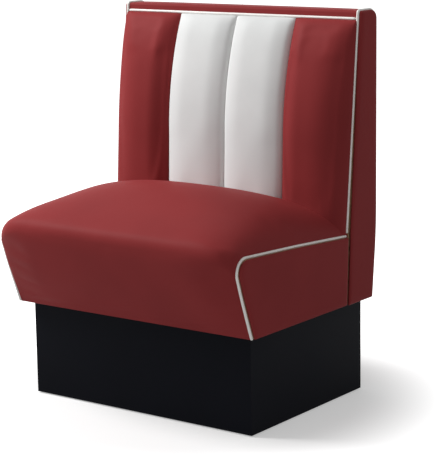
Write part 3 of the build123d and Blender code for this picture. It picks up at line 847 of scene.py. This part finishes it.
# Base colour, roughness, finish and constant shader values of each material
FINISHES = {
    "red_vinyl": ((0.285, 0.0375, 0.0390), 0.52, vinyl, {"Specular IOR Level": 0.04}),
    # White vinyl carries painted light towards the foot of the channels
    "white_vinyl": ((0.835, 0.845, 0.838), 0.50, vinyl_painted_light_at_foot, {"Specular IOR Level": 0.12}),
    "welt_vinyl": ((0.95, 0.93, 0.89), 0.40, vinyl, {"Specular IOR Level": 1.0}),
    "black_laminate": ((0.0055, 0.0060, 0.0088), 0.55, laminate, {"Specular IOR Level": 0.03}),
    "foam": ((0.75, 0.66, 0.42), 0.9, porous),
    "felt": ((0.30, 0.29, 0.27), 0.95, porous),
    "plywood": ((0.52, 0.36, 0.20), 0.6, timber),
    "softwood": ((0.60, 0.42, 0.22), 0.6, timber),
    "spring_steel": ((0.12, 0.12, 0.13), 0.35, metal, {"Metallic": 1.0}),
    "zinc_steel": ((0.45, 0.45, 0.47), 0.30, metal, {"Metallic": 1.0}),
    "black_nylon": ((0.015, 0.015, 0.016), 0.5, laminate),
}
looks = {name: material(name, *finish) for name, finish in FINISHES.items()}
for part in frame["record"]["subparts"]:
    mesh = nodes[part["node"]].data
    mesh.materials.clear()
    mesh.materials.append(looks[part["material_slot"]])

# Every cover gets its material and its body, and takes the place of its solids

PANELS = (
    ("seat_side_panel", seat_panel_corners, SEAT_PANEL_STEPS),
    ("back_side_panel", back_panel_corners, BACK_PANEL_STEPS),
)
SIDE_WELTS = (("seat_welt", seat_welt_path), ("back_welt", back_welt_path))


def dress(shown, slot, *replaced, padded=None):
    """Finish a cover that stands for the solids named; padded, a fill from 0 to 1, is not used."""
    shown.data.materials.clear()
    shown.data.materials.append(looks[slot])
    finer = shown.modifiers.new("Finer", "SUBSURF")
    finer.levels = finer.render_levels = 1
    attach(shown, BODY)
    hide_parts(*replaced)


dress(cushion, "red_vinyl", "seat_cover", "seat_foam", padded=0.9)
for index, (shown, slot, solid) in enumerate(channels):
    inner_pads = ("back_channel_fills", "back_lumbar_pad") if index == 0 else ()
    dress(shown, slot, solid, *inner_pads, padded=0.85)

for side, sign in SIDES:
    for kind, corners_at, steps in PANELS:
        solid = kind + "_" + side
        panel = side_panel(solid + "_cover", corners_at, steps, sign)
        dress(panel, "red_vinyl", solid, padded=1.0)
    for kind, path_at in SIDE_WELTS:
        solid = kind + "_" + side
        path = [(sign * WELT_X, y, z) for y, z in path_at()]
        dress(welt(solid + "_piping", path), "welt_vinyl", solid)
dress(welt("back_welt_top_piping", top_welt_path()), "welt_vinyl", "back_welt_top")

band_path, rear_path = wrap_paths()
band = wrap("back_top_band_cover", band_path, COVER_EDGE_X, BAND_THICKNESS)
dress(band, "red_vinyl", "back_top_band", "back_top_foam", padded=0.9)
rear = wrap("back_rear_cover_panel", rear_path, REAR_HALF, REAR_THICKNESS)
dress(rear, "red_vinyl", "back_rear_cover", padded=1.0)


# Floor, world, lamp and camera

FLOOR_HALF = 14.0
FLOOR_TONE = 0.55
FLOOR_ROUGHNESS = 0.9
FLOOR_SEEN = 0.81
FLOOR_LIFT = 0.36
FLOOR_FADE = (0.40, 0.72)
FULL_WHITE = (1.0, 1.0, 1.0, 1.0)
ROOM_LIGHT = 0.32
BACKDROP_LIGHT = 1.0
ROOM_SOCKET, BACKDROP_SOCKET = 1, 2
SENSOR_WIDTH = 36.0
LENS = 134.5
CAMERA_PLACE = (2.501, -3.2357, 1.2196)
CAMERA_AHEAD = (-0.5838, 0.7875, -0.1973)
CAMERA_ROLL = radians(-0.89)


def backdrop_rays(tree):
    """1 for rays from the camera and for mirrored or passing rays, else 0."""
    seen = tree.nodes.new("ShaderNodeLightPath")
    found = seen.outputs["Is Camera Ray"]
    for kind in ("Is Glossy Ray", "Is Transmission Ray"):
        either = node(tree, "ShaderNodeMath", operation="MAXIMUM")
        tree.links.new(found, either.inputs[0])
        tree.links.new(seen.outputs[kind], either.inputs[1])
        found = either.outputs["Value"]
    return found


def floor():
    """Pale floor that keeps the shadow near the bench and runs out into the white backdrop."""
    quarters = ((-1, -1), (1, -1), (1, 1), (-1, 1))
    corners = [(x * FLOOR_HALF, y * FLOOR_HALF, 0) for x, y in quarters]
    shown = piece("floor", corners, [(0, 1, 2, 3)])
    tone = (FLOOR_TONE, FLOOR_TONE, FLOOR_TONE)
    made = material("floor", tone, FLOOR_ROUGHNESS, constants={"Specular IOR Level": 0.0})
    tree = made.node_tree
    shader = tree.nodes[SHADER]
    seen = backdrop_rays(tree)
    place = tree.nodes.new("ShaderNodeTexCoord")
    distance = node(tree, "ShaderNodeVectorMath", operation="LENGTH")
    tree.links.new(place.outputs["Object"], distance.inputs[0])
    away = distance.outputs["Value"]
    fade = map_range(tree, away, FLOOR_FADE, FLOOR_LIFT, 1.0, interpolation_type="SMOOTHSTEP")
    lift = node(tree, "ShaderNodeMath", operation="MULTIPLY")
    tree.links.new(fade, lift.inputs[0])
    tree.links.new(seen, lift.inputs[1])
    shown_tone = map_range(tree, seen, (0.0, 1.0), FLOOR_TONE, FLOOR_SEEN)
    tree.links.new(shown_tone, shader.inputs["Base Color"])
    shader.inputs["Emission Color"].default_value = FULL_WHITE
    tree.links.new(lift.outputs["Value"], shader.inputs["Emission Strength"])
    shown.data.materials.append(made)


def world():
    """Plain soft light on the bench, and white where the backdrop is seen."""
    made = bpy.data.worlds.new("studio")
    scene.world = made
    made.use_nodes = True
    tree = made.node_tree
    tree.nodes.clear()
    out = tree.nodes.new("ShaderNodeOutputWorld")
    mix = tree.nodes.new("ShaderNodeMixShader")
    for socket, strength in ((ROOM_SOCKET, ROOM_LIGHT), (BACKDROP_SOCKET, BACKDROP_LIGHT)):
        sky = node(tree, "ShaderNodeBackground", Color=FULL_WHITE, Strength=strength)
        tree.links.new(sky.outputs["Background"], mix.inputs[socket])
    tree.links.new(backdrop_rays(tree), mix.inputs["Fac"])
    tree.links.new(mix.outputs["Shader"], out.inputs["Surface"])


def lamp(name, place, target, size, power):
    """Soft rectangular lamp at a place, turned to a target."""
    data = bpy.data.lights.new(name, "AREA")
    data.shape = "RECTANGLE"
    data.size, data.size_y = size
    data.energy = power
    shown = bpy.data.objects.new(name, data)
    scene.collection.objects.link(shown)
    shown.location = place
    shown.rotation_mode = "QUATERNION"
    shown.rotation_quaternion = (Vector(target) - Vector(place)).to_track_quat("-Z", "Y")


def camera():
    """Camera at the photograph's viewing angle."""
    data = bpy.data.cameras.new("camera")
    data.sensor_width = SENSOR_WIDTH
    data.lens = LENS
    shown = bpy.data.objects.new("camera", data)
    scene.collection.objects.link(shown)
    ahead = Vector(CAMERA_AHEAD).normalized()
    right = ahead.cross(Vector((0, 0, 1))).normalized()
    up = right.cross(ahead)
    turned_right = right * cos(CAMERA_ROLL) + up * sin(CAMERA_ROLL)
    turned_up = up * cos(CAMERA_ROLL) - right * sin(CAMERA_ROLL)
    turn = Matrix((turned_right, turned_up, -ahead)).transposed()
    shown.matrix_world = Matrix.Translation(CAMERA_PLACE) @ turn.to_4x4()
    scene.camera = shown


floor()
world()
lamp("key", place=(-2.73, -1.10, 3.05), target=(0, 0, 0.5), size=(1.6, 1.6), power=140)
camera()
scene.view_settings.view_transform = "Standard"

bpy.context.view_layer.update()
